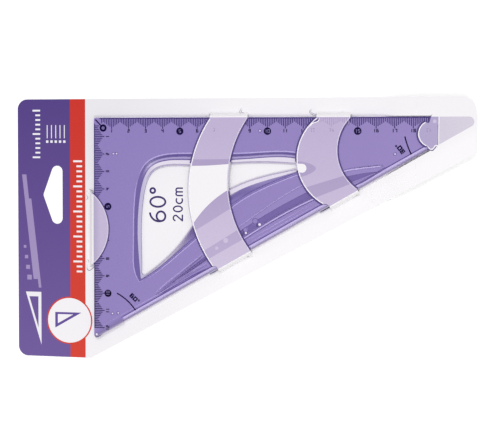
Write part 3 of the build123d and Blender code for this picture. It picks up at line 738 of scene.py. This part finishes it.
def add_plates(name, outlines, base, height, material, carrier):
    """Thin flat plates of the given plan outlines, joined into one piece."""
    points, faces = [], []
    for outline in outlines:
        first = len(points)
        count = len(outline)
        for level in (base, base + height):
            points.extend(at(x, y, level) for x, y in outline)
        faces.append(tuple(first + step for step in reversed(range(count))))
        faces.append(tuple(first + count + step for step in range(count)))
        for step in range(count):
            after = (step + 1) % count
            faces.append((first + step, first + after, first + count + after, first + count + step))
    piece = add_mesh(name, points, faces, material, carrier)
    for face in piece.data.polygons:
        face.use_smooth = False
    return piece


# ---------------------------------------------------------------- moulded detail of the square

HOLE_CENTRE = (50.0, -45.0)     # middle of the square's wing-shaped opening
RIM_LEFT = (23.2, -74.0)        # a point beside the sloped rim's left side
LIP_LEFT_SIDE = (27.3, -72.0)   # a point beside the lip's inner edge
LEFT_TOP = (27.5, -34.0)        # where the opening's left side meets its top side
LEFT_FOOT = (30.0, -92.0)       # where its left side meets its lower side
RIGHT_END = (128.0, -27.0)
LEAF_UPPER = ((35.0, -101.2), (57.2, -82.0), (84.8, -60.1), (116.0, -38.9), (141.0, -29.2), (164.0, -25.8))
LEAF_LOWER = ((65.9, -80.7), (101.8, -57.0), (127.4, -43.4), (148.0, -35.6), (165.8, -28.2))
LEAF_END_LINE = ((148.7, -37.2), (154.3, -34.0), (159.7, -30.7), (165.6, -26.7))
LEAF_UPPER_FROM, LEAF_UPPER_TO = 60, 133    # stations between which the leaf's upper edge is a faint line
LEAF_END_FROM = 131                         # and from which it is a bright one
LEAF_FOOT_TO = 149
FAN_LIGHTS = (
    ((34.5, -100.3), (41.5, -93.8), (50.2, -86.8), (56.0, -82.1), (61.8, -77.4), (64.6, -75.2)),
    ((53.1, -89.0), (60.0, -84.4), (67.3, -80.3)),
)
FAN_DARKS = (
    ((36.0, -100.0), (42.2, -94.7), (50.8, -87.6), (56.6, -82.9), (62.4, -78.2)),
    ((37.4, -99.8), (44.4, -94.2), (51.3, -89.0), (58.5, -83.6), (66.4, -78.4)),
    ((38.6, -100.2), (44.8, -95.6), (53.1, -90.2), (60.4, -85.5), (68.2, -81.4)),
)
FAN_FOOT = ((37.6, -100.4), (45.5, -95.6), (53.2, -91.0), (61.0, -86.9), (68.6, -83.2))
FAN_ROOT = 0.65                 # reaches down to the floor of the leaf recess
EDGE_LINES = ((104, 158, 6.0), (96, 158, 4.2), (186, 246, 4.3))     # start and end from the tip, and inset
# places of the pips, drawn as painted glints
PIPS = ((11.0, -19.8), (12.9, -19.8), (10.4, -111.6), (13.8, -111.2), (170.4, -19.6), (95.8, -6.9))
PIP_R = 0.42
PIP_RING_GAP = 0.45
PIP_FOOT = 0.26                 # the pips stand this deep in the face, on the floor of the dimples
PIP_T = 0.28
STUD_GLINTS = (((95.9, -59.1), 0.75), ((88.1, -63.9), 0.6))         # centre and radius
STUD_SHADES = (((94.6, -59.5), 0.8), ((86.9, -64.0), 0.6))
STUD_TOPS = (((93.3, -57.2), 1.75), ((87.9, -62.2), 1.3))
STUD_FOOT = LEAF_FLOOR - 0.05
STUD_GLINT_T, STUD_SHADE_T, STUD_RIM_H = 0.5, 0.4, 0.5
HEEL_CORNER = ((-0.6, -124.0), (-0.1, -125.0), (1.1, -125.5), (2.4, -124.9), (4.2, -123.9))
HEEL_GLINT = ((0.9, -124.0), 0.6)
GLINT_SINK, GLINT_T = 0.3, 0.36


def beside_long_edge(first, last, inset):
    """Straight path inset from the long edge, between two distances along it from the tip."""
    start = Vector(TIP_AT) - Vector(OUT) * inset
    return [tuple(start + Vector(ALONG) * distance) for distance in (first, last)]


def add_rim_lines():
    """Painted highlight and painted shade lines along the sloped rim of the opening and on its thin lip, the
    grey ones a painted shadow at the lip's edge.
    """
    # painted shade, painted highlight and painted shadow lines
    dark = moulded_line_with_painted_light("rim_painted_shade", (90, 73, 148))
    light = moulded_line_with_painted_light("rim_painted_highlight", (184, 169, 224))
    grey = moulded_line_with_painted_light("hole_edge_painted_shadow", (176, 167, 194))
    rim = loop_at(FACE, RIM_LEFT)
    hole = loop_at(LIP, LIP_LEFT_SIDE)
    top_rim, low_rim, left_rim = (
        stretch(rim, *ends) for ends in ((LEFT_TOP, RIGHT_END), (LEFT_FOOT, RIGHT_END), (LEFT_FOOT, LEFT_TOP))
    )
    top_hole, low_hole = (stretch(hole, corner, RIGHT_END) for corner in (LEFT_TOP, LEFT_FOOT))
    rows = (
        # name, line and distance outward from it, height of its base, size, material
        ("rim_top_light", top_rim, 0.4, FACE, Ridge(0.6, 0.06, taper=12), light),
        ("rim_left_light", left_rim, 0.45, FACE, Ridge(0.5, 0.06, taper=12), light),
        ("rim_low_light", low_rim, 1.1, FACE, Ridge(0.5, 0.06, taper=20), light),
        ("rim_low_edge", low_rim, -0.2, FACE - 0.1, Ridge(0.6, 0.1, root=0.4), dark),
        ("rim_low_dark", low_rim, 0.55, FACE, Ridge(0.35, 0.04, taper=20), dark),
        ("hole_top_line", top_hole, 0.5, LIP, Ridge(0.85, 0.05, taper=6), grey),
        ("hole_low_line", low_hole, 0.3, LIP, Ridge(0.6, 0.05, taper=6), grey),
    )
    for name, line, distance, base, ridge, material in rows:
        add_ridges(name, [outward(line, distance)], base, ridge, material, ON_SQUARE)


def add_leaf_lines():
    """Edges of the leaf recess, the fan of folds at its foot and faint lines beside the long edge, as low
    ridges in painted highlight and painted shade.
    """
    # painted highlight and painted shade lines of the leaf and its fan
    bright = moulded_line_with_painted_light("leaf_painted_highlight", (192, 175, 230))
    faint = moulded_line_with_painted_light("leaf_faint_highlight", (174, 157, 216))
    dark = moulded_line_with_painted_light("leaf_painted_shade", (100, 82, 150))
    darkest = moulded_line_with_painted_light("leaf_deep_painted_shade", (84, 65, 136))
    fold = moulded_line_with_painted_light("fan_fold_painted_shade", (116, 98, 164))
    upper = smooth(LEAF_UPPER)
    left_upper = [point for point in upper if LEAF_UPPER_FROM < point[0] < LEAF_UPPER_TO]
    right_upper = [point for point in upper if point[0] > LEAF_END_FROM]
    foot = [point for point in shifted(smooth(LEAF_LOWER), -0.45) if point[0] < LEAF_FOOT_TO]
    lights, darks = ([smooth(row) for row in rows] for rows in (FAN_LIGHTS, FAN_DARKS))
    rows = (
        # name, paths, size, material
        ("leaf_upper_line", [left_upper], Ridge(0.4, 0.06, taper=10), faint),
        ("leaf_end_light", [shifted(right_upper, -0.3)], Ridge(0.7, 0.08, taper=3), bright),
        ("leaf_end_shade", [shifted(right_upper, 0.45)], Ridge(0.4, 0.05, taper=6), dark),
        ("leaf_end_dark", [smooth(LEAF_END_LINE)], Ridge(0.9, 0.08, taper=5), darkest),
        ("leaf_foot_shade", [shifted(foot, 0.65)], Ridge(0.55, 0.08, taper=20), dark),
        ("leaf_foot_light", [foot], Ridge(0.7, 0.12, taper=20), bright),
        ("leaf_foot_dark", [shifted(foot, -0.7)], Ridge(0.55, 0.08, taper=20), darkest),
        ("fan_lights", lights, Ridge(0.45, 0.04, FAN_ROOT, taper=8), faint),
        ("fan_darks", darks, Ridge(0.4, 0.03, FAN_ROOT, taper=8), fold),
        ("fan_foot", [smooth(FAN_FOOT)], Ridge(0.7, 0.04, taper=6), darkest),
        ("edge_faint_lines", [beside_long_edge(*line) for line in EDGE_LINES], Ridge(0.35, 0.05), faint),
    )
    for name, paths, ridge, material in rows:
        add_ridges(name, paths, FACE, ridge, material, ON_SQUARE)


def add_pips():
    """Tiny pips in the dimples as painted glints, each in a ring of painted shade."""
    bright = moulded_line_with_painted_light("pip_painted_glint", (236, 226, 250), 0.15)
    ring = moulded_line_with_painted_light("pip_ring_painted_shade", (116, 98, 164))
    add_plates("pips", [circle(pip, PIP_R) for pip in PIPS], FACE - PIP_FOOT, PIP_T, bright, ON_SQUARE)
    rings = [circle(pip, PIP_R + PIP_RING_GAP) for pip in PIPS]
    add_ridges("pip_rings", rings, FACE, Ridge(0.3, 0.04, closed=True), ring, ON_SQUARE)


def add_stud_lights():
    """Bright and dark touches where light gathers beside the studs of the leaf."""
    bright = moulded_line_with_painted_light("stud_glint", (244, 236, 253), 0.15)
    shade = moulded_line_with_painted_light("stud_shade", (70, 52, 122))
    rim = moulded_line_with_painted_light("stud_rim", (150, 132, 196))
    glints, shades, tops = (
        [circle(*spot) for spot in spots] for spots in (STUD_GLINTS, STUD_SHADES, STUD_TOPS)
    )
    add_plates("stud_glints", glints, STUD_FOOT, STUD_GLINT_T, bright, ON_SQUARE)
    add_plates("stud_shades", shades, STUD_FOOT, STUD_SHADE_T, shade, ON_SQUARE)
    add_ridges("stud_rims", tops, STUD_FOOT, Ridge(0.4, STUD_RIM_H, closed=True), rim, ON_SQUARE)


def add_heel_corner():
    """Painted shade line and painted glint of the rounded corner at the foot of the short leg."""
    dark = moulded_line_with_painted_light("heel_painted_shade", (96, 88, 128))
    bright = moulded_line_with_painted_light("heel_glint", (240, 236, 246), 0.15)
    line = Ridge(0.6, 0.08, root=1.2, taper=2)
    add_ridges("heel_corner_line", [smooth(HEEL_CORNER)], FACE, line, dark, ON_SQUARE)
    add_plates("heel_glint", [circle(*HEEL_GLINT)], FACE - GLINT_SINK, GLINT_T, bright, ON_SQUARE)


# ---------------------------------------------------------------- cut edges of the card

# Slits of the straps, the raised end and the tab, each an arc through three points
WIDE_LEFT = ((67.4, 0.2), (55.3, -36.0), (69.3, -82.9))
WIDE_RIGHT = ((88.8, 0.2), (77.8, -36.0), (90.4, -73.2))
NARROW_LEFT = ((127.4, 0.2), (116.6, -24.0), (131.3, -47.2))
NARROW_RIGHT = ((146.0, 0.2), (139.1, -19.5), (149.9, -38.6))
POCKET_ARC = ((186.4, -2.2), (182.6, -8.6), (187.1, -15.3))
TAB_ARC = ((-4.6, -40.2), (8.2, -63.0), (-4.6, -85.6))
TAB_FREE = (-83, -42)           # heights between which the tab's edge is free

# Heights between which a slit crosses the square's opening
WIDE_LEFT_OVER_HOLE = (-60.5, -25.5)
WIDE_RIGHT_OVER_HOLE = (-40.5, -24.5)
NARROW_LEFT_OVER_HOLE = (-28.5, -24.5)
SHADE_OVERLAP = 0.5

# Shade in the gap between the square and the card that passes over it
SHADE_FOOT = 2.62
SHADE_T = 0.19

# Fine curled ends of the slits, beside the square
CURLS = (
    ((84.9, 5.9), (84.7, 4.5), (84.3, 3.6), (86.1, 2.8), (88.1, 2.2)),
    ((124.5, 4.9), (123.6, 4.1), (123.7, 3.2), (125.1, 2.4), (126.8, 1.6), (128.2, 0.9)),
    ((142.8, 1.7), (146.1, 1.6), (147.2, 0.9)),
    ((66.0, 2.6), (67.3, 2.2), (68.4, 1.3)),
)
FOOT_CURLS = (
    ((86.8, -77.1), (88.9, -77.4), (90.2, -75.6)),
    ((133.4, -50.0), (134.9, -48.9), (134.6, -47.7)),
    ((146.5, -41.6), (150.4, -39.9), (151.3, -38.2)),
)
TAB_SLITS = (
    ((-4.3, -40.1), (-2.4, -41.0), (-1.2, -41.9)),
    ((-0.4, -84.3), (-2.5, -86.3), (-4.3, -87.3), (-5.5, -86.2), (-5.5, -84.7)),
)
TAB_CURLS = (
    ((-5.7, -43.6), (-5.0, -45.1), (-5.7, -46.2), (-6.4, -46.3)),
    ((-5.3, -80.7), (-4.5, -81.8), (-4.8, -82.8)),
)
HEEL_TOPS = (
    ((69.3, -83.0), (71.2, -83.0), (71.9, -83.6), (72.1, -84.2)),
    ((131.3, -47.4), (133.1, -47.4), (134.3, -47.8), (134.6, -48.4)),
)
HEEL_FEET_BASE = 1.5            # height of the straps' bends beside the square, where those lines lie
HEEL_FEET = (
    ((72.1, -84.0), (72.0, -84.9), (70.4, -86.0), (67.2, -87.8)),
    ((134.6, -48.3), (134.4, -49.2), (132.7, -50.2), (129.5, -52.0)),
)
STRAP_HEAD_CURL = ((122.7, -4.6), (124.3, -2.7), (125.5, -1.9), (127.3, -1.4), (128.2, -0.6), (128.4, 0.5))
POCKET_HEAD = ((186.4, -2.4), (188.1, -2.5), (188.6, -0.7), (189.4, 0.9), (189.9, 1.9))
POCKET_FOOT = ((187.1, -15.2), (188.4, -17.0), (190.3, -17.6), (191.5, -16.6), (192.3, -15.5), (193.2, -16.0))


def cut_edge_or_shade_material(name, first, second):
    """Fibrous line along the board's cut edge: a pale edge brightened as a painted highlight, or a painted
    shade beside it.
    """
    material, graph, shader = surface(name)
    fibre = graph.noise(0.0008, 3)
    tone = graph.mix(graph.ramp(fibre, 0.3, 0.7, 0, 0.25), linear(*first), linear(*second))
    graph.join(tone, shader.inputs["Base Color"])
    graph.join(graph.ramp(fibre, 0.3, 0.7, 0.6, 0.8), shader.inputs["Roughness"])
    return material


def between(path, low, high):
    """The part of a path whose points lie between two heights up the card."""
    return [point for point in path if low <= point[1] <= high]


def over_plastic(slit, hole):
    """The parts of a slit above and below the heights between which it crosses the opening."""
    low, high = hole
    return [[point for point in slit if point[1] >= high], [point for point in slit if point[1] <= low]]


def over_hole(slit, hole):
    """The part of a slit that crosses the opening, with a short overlap onto the plastic."""
    low, high = hole
    return between(slit, low - SHADE_OVERLAP, high + SHADE_OVERLAP)


def add_card_edges(white, violet):
    """Pale cut edges of the straps and the raised end, brightened as painted highlights, and the painted
    shade under them.
    """
    lilac = cut_edge_or_shade_material("cut_edge_lilac_highlight", (226, 216, 238), (212, 200, 228))
    grey = cut_edge_or_shade_material("edge_shade_grey", (196, 190, 206), (208, 203, 216))
    wide_left, wide_right, narrow_left, narrow_right = (
        arc(*curve, count=80) for curve in (WIDE_LEFT, WIDE_RIGHT, NARROW_LEFT, NARROW_RIGHT)
    )
    pocket = arc(*POCKET_ARC)
    lefts = [shifted(path, 0.3) for path in (wide_left, narrow_left, pocket)]
    rights = [shifted(path, -0.25) for path in (wide_right, narrow_right)]
    add_ridges("cut_edges_left", lefts, OVER, Ridge(0.6, 0.08), white, ON_CARD)
    add_ridges("cut_edges_right", rights, OVER, Ridge(0.4, 0.06), lilac, ON_CARD)
    left_parts = over_plastic(wide_left, WIDE_LEFT_OVER_HOLE)
    left_parts += over_plastic(narrow_left, NARROW_LEFT_OVER_HOLE)
    right_parts = over_plastic(wide_right, WIDE_RIGHT_OVER_HOLE) + [narrow_right]
    shades = [shifted(part, -0.3) for part in (*left_parts, pocket)]
    shades += [shifted(part, 0.15) for part in right_parts]
    pale_shades = [
        shifted(over_hole(wide_left, WIDE_LEFT_OVER_HOLE), -0.1),
        shifted(over_hole(wide_right, WIDE_RIGHT_OVER_HOLE), 0.1),
        shifted(over_hole(narrow_left, NARROW_LEFT_OVER_HOLE), -0.1),
    ]
    top = SHADE_FOOT + SHADE_T
    add_ridges("edge_shade_over_plastic", shades, top, Ridge(1.2, 0.02, SHADE_T), violet, ON_CARD)
    add_ridges("edge_shade_over_hole", pale_shades, top, Ridge(0.9, 0.02, SHADE_T), grey, ON_CARD)
    tab = between(arc(*TAB_ARC, count=60), *TAB_FREE)
    add_ridges("tab_cut_edge", [shifted(tab, -0.25)], OVER, Ridge(0.4, 0.06), lilac, ON_TAB)
    add_ridges("tab_edge_shade", [shifted(tab, 0.1)], top, Ridge(0.8, 0.02, SHADE_T), violet, ON_TAB)


def add_curls(white, violet):
    """Fine curled ends of the slits: a painted highlight core between two painted shade lines; and painted
    shade and highlight lines at the straps' heels and heads and at the raised end.
    """
    outline = cut_edge_or_shade_material("curl_painted_shade", (146, 141, 154), (170, 165, 177))
    curls, feet, tops, ends = (
        [smooth(curl) for curl in group] for group in (CURLS, FOOT_CURLS, HEEL_TOPS, HEEL_FEET)
    )
    both_sides = [shifted(curl, offset) for curl in curls for offset in (-0.35, 0.35)]
    foot_lights = [shifted(curl, 0.5) for curl in feet]
    tab_lines = [smooth(curl) for curl in (*TAB_SLITS, *TAB_CURLS)]
    head, pocket_foot = smooth(STRAP_HEAD_CURL), smooth(POCKET_FOOT)
    rows = (
        # name, paths, height of their base, size, material
        ("slit_curls_shade", both_sides, SHEET, Ridge(0.3, 0.1, taper=2), outline),
        ("slit_curls_light", curls, SHEET, Ridge(0.5, 0.14, taper=2), white),
        ("foot_curls_shade", feet, SHEET, Ridge(0.4, 0.1, taper=2), outline),
        ("foot_curls_light", foot_lights, SHEET, Ridge(0.45, 0.14, taper=2), white),
        ("tab_slit_lines", tab_lines, SHEET, Ridge(0.45, 0.1, taper=2), outline),
        ("heel_top_lines", tops, FACE - 0.1, Ridge(0.5, 0.15, root=0.9, taper=1), violet),
        ("heel_end_lines", ends, HEEL_FEET_BASE, Ridge(0.45, 0.15, root=0.9, taper=3), violet),
        ("strap_head_dark", [head], OVER, Ridge(0.9, 0.05, taper=2), violet),
        ("strap_head_light", [shifted(head, -0.75)], OVER, Ridge(0.5, 0.09, taper=2), white),
        ("pocket_head_dark", [smooth(POCKET_HEAD)], OVER, Ridge(0.8, 0.05, taper=3), violet),
        ("pocket_foot_dark", [pocket_foot], OVER, Ridge(0.5, 0.05, taper=2), violet),
        ("pocket_foot_light", [shifted(pocket_foot, 0.6)], OVER, Ridge(0.6, 0.08, taper=2), white),
    )
    for name, paths, base, ridge, material in rows:
        add_ridges(name, paths, base, ridge, material, ON_CARD)


EDGE_GAP = 0.35             # from the square's edge to the middle of the light line beside it
LIGHT_TOP = ZERO_INSET + EDGE_GAP
LIGHT_LEFT = -LIGHT_TOP
TOP_SPANS = ((LIGHT_LEFT, 66.0), (89.5, 126.0), (147.0, 187.5))     # between the straps and the raised end
LEFT_SPANS = ((LIGHT_TOP, -41.0), (-84.5, -120.0))                  # above and below the tab


def add_sheet_edge_light(white):
    """Painted highlight: a bright line of the sheet along the square's top and left edges, where they show.
    """
    rows = [[(first, LIGHT_TOP), (last, LIGHT_TOP)] for first, last in TOP_SPANS]
    rows += [[(LIGHT_LEFT, first), (LIGHT_LEFT, last)] for first, last in LEFT_SPANS]
    add_ridges("sheet_edge_light", rows, SHEET, Ridge(0.5, 0.12), white, ON_CARD)


# ---------------------------------------------------------------- marks in the card's pictures

# Plain strokes of the figures, in shares of their height, about their middle
STROKES = {
    "1": (((-0.15, 0.3), (0.1, 0.5), (0.1, -0.5)),),
    "3": (((-0.25, 0.5), (0.25, 0.5), (0.0, 0.05), (0.25, -0.25), (0.0, -0.5), (-0.25, -0.4)),),
    "4": (((0.15, -0.5), (0.15, 0.5), (-0.3, -0.15), (0.3, -0.15)),),
    "7": (((-0.25, 0.5), (0.25, 0.5), (-0.1, -0.5)),),
    "9": (((0.25, 0.1), (-0.2, 0.05), (-0.2, 0.5), (0.25, 0.45), (0.2, -0.5)),),
}
FIGURE_H = 1.8
FIGURE_PITCH = 0.8                  # between two figures, in shares of their height
PICTURED_FIGURES = (("7", (70.0, -6.3)), ("13", (125.2, -6.5)), ("14", (135.6, -6.5)), ("19", (188.0, -6.6)))
PICTURED_TICKS = (129.2, 145.0)     # stretch of the narrow strap that shows them
PICTURED_LONG = 135.6               # its longest one, a whole centimetre of the picture
PICTURED_PITCH = 1.04
CREASE = ((193.05, -3.6), (193.2, -14.4))
CREASE_LIGHT = ((193.8, -3.2), (193.95, -14.0))
POCKET_LIGHT = ((185.9, -8.25), (191.1, -8.35))
POCKET_PATCH = ((191.4, -1.9), 1.0)
PATCH_SINK, PATCH_T = 0.04, 0.06


def pictured_ticks():
    """Plan paths of the narrow strap's ticks: long on a centimetre, shorter towards a half."""
    ticks = []
    for step in range(-7, 11):
        station = PICTURED_LONG + step * PICTURED_PITCH
        reach = 4.6 if step % 10 == 0 else 1.6 + 0.5 * abs(step % 10 - 5)
        if PICTURED_TICKS[0] < station < PICTURED_TICKS[1]:
            ticks.append([(station, 0.3), (station, -reach)])
    return ticks


def pictured_figures():
    """Plan paths of the strokes of all pictured figures."""
    paths = []
    for text, (x, y) in PICTURED_FIGURES:
        for index, figure in enumerate(text):
            across = (index - (len(text) - 1) / 2) * FIGURE_PITCH
            for stroke in STROKES[figure]:
                paths.append([(x + (across + p) * FIGURE_H, y + q * FIGURE_H) for p, q in stroke])
    return paths


def add_pictured_marks():
    """Faint scale marks in the pictures on the straps and the raised end, and its crease."""
    lilac = ink_material("pictured_marks", (172, 158, 198), (166, 152, 192), X_AXIS, (-0.02, 0.1))
    pale = ink_material("pictured_pale", (229, 221, 238), (232, 226, 240), X_AXIS, (0.09, 0.12))
    patch = ink_material("pocket_patch", (206, 196, 222), (204, 194, 220), X_AXIS, (0.1, 0.12))
    rows = (
        # name, paths, size, material
        ("pictured_ticks", pictured_ticks(), Ridge(0.35, 0.02), lilac),
        ("pictured_figures", pictured_figures(), Ridge(0.4, 0.02), lilac),
        ("pocket_crease", [CREASE], Ridge(0.5, 0.02), lilac),
        ("pocket_lights", [CREASE_LIGHT, POCKET_LIGHT], Ridge(0.5, 0.03, taper=1), pale),
    )
    for name, paths, ridge, material in rows:
        add_ridges(name, paths, OVER, ridge, material, ON_PICTURES)
    add_plates("pocket_light_patch", [circle(*POCKET_PATCH)], OVER - PATCH_SINK, PATCH_T, patch, ON_PICTURES)


def add_square_lines():
    add_rim_lines()
    add_leaf_lines()
    add_pips()
    add_stud_lights()
    add_heel_corner()


def add_card_lines():
    # white: pale cut edges brightened as painted highlights; violet: painted shade lines
    white = cut_edge_or_shade_material("cut_edge_white_highlight", (250, 247, 252), (232, 226, 238))
    violet = cut_edge_or_shade_material("edge_shade_violet", (74, 56, 122), (92, 74, 142))
    add_card_edges(white, violet)
    add_curls(white, violet)
    add_pictured_marks()
    add_sheet_edge_light(white)


add_camera()
add_world()
add_floor()
add_lamps()
dress_square()
dress_card()
add_square_lines()
add_card_lines()

bpy.context.scene.view_settings.view_transform = "Standard"
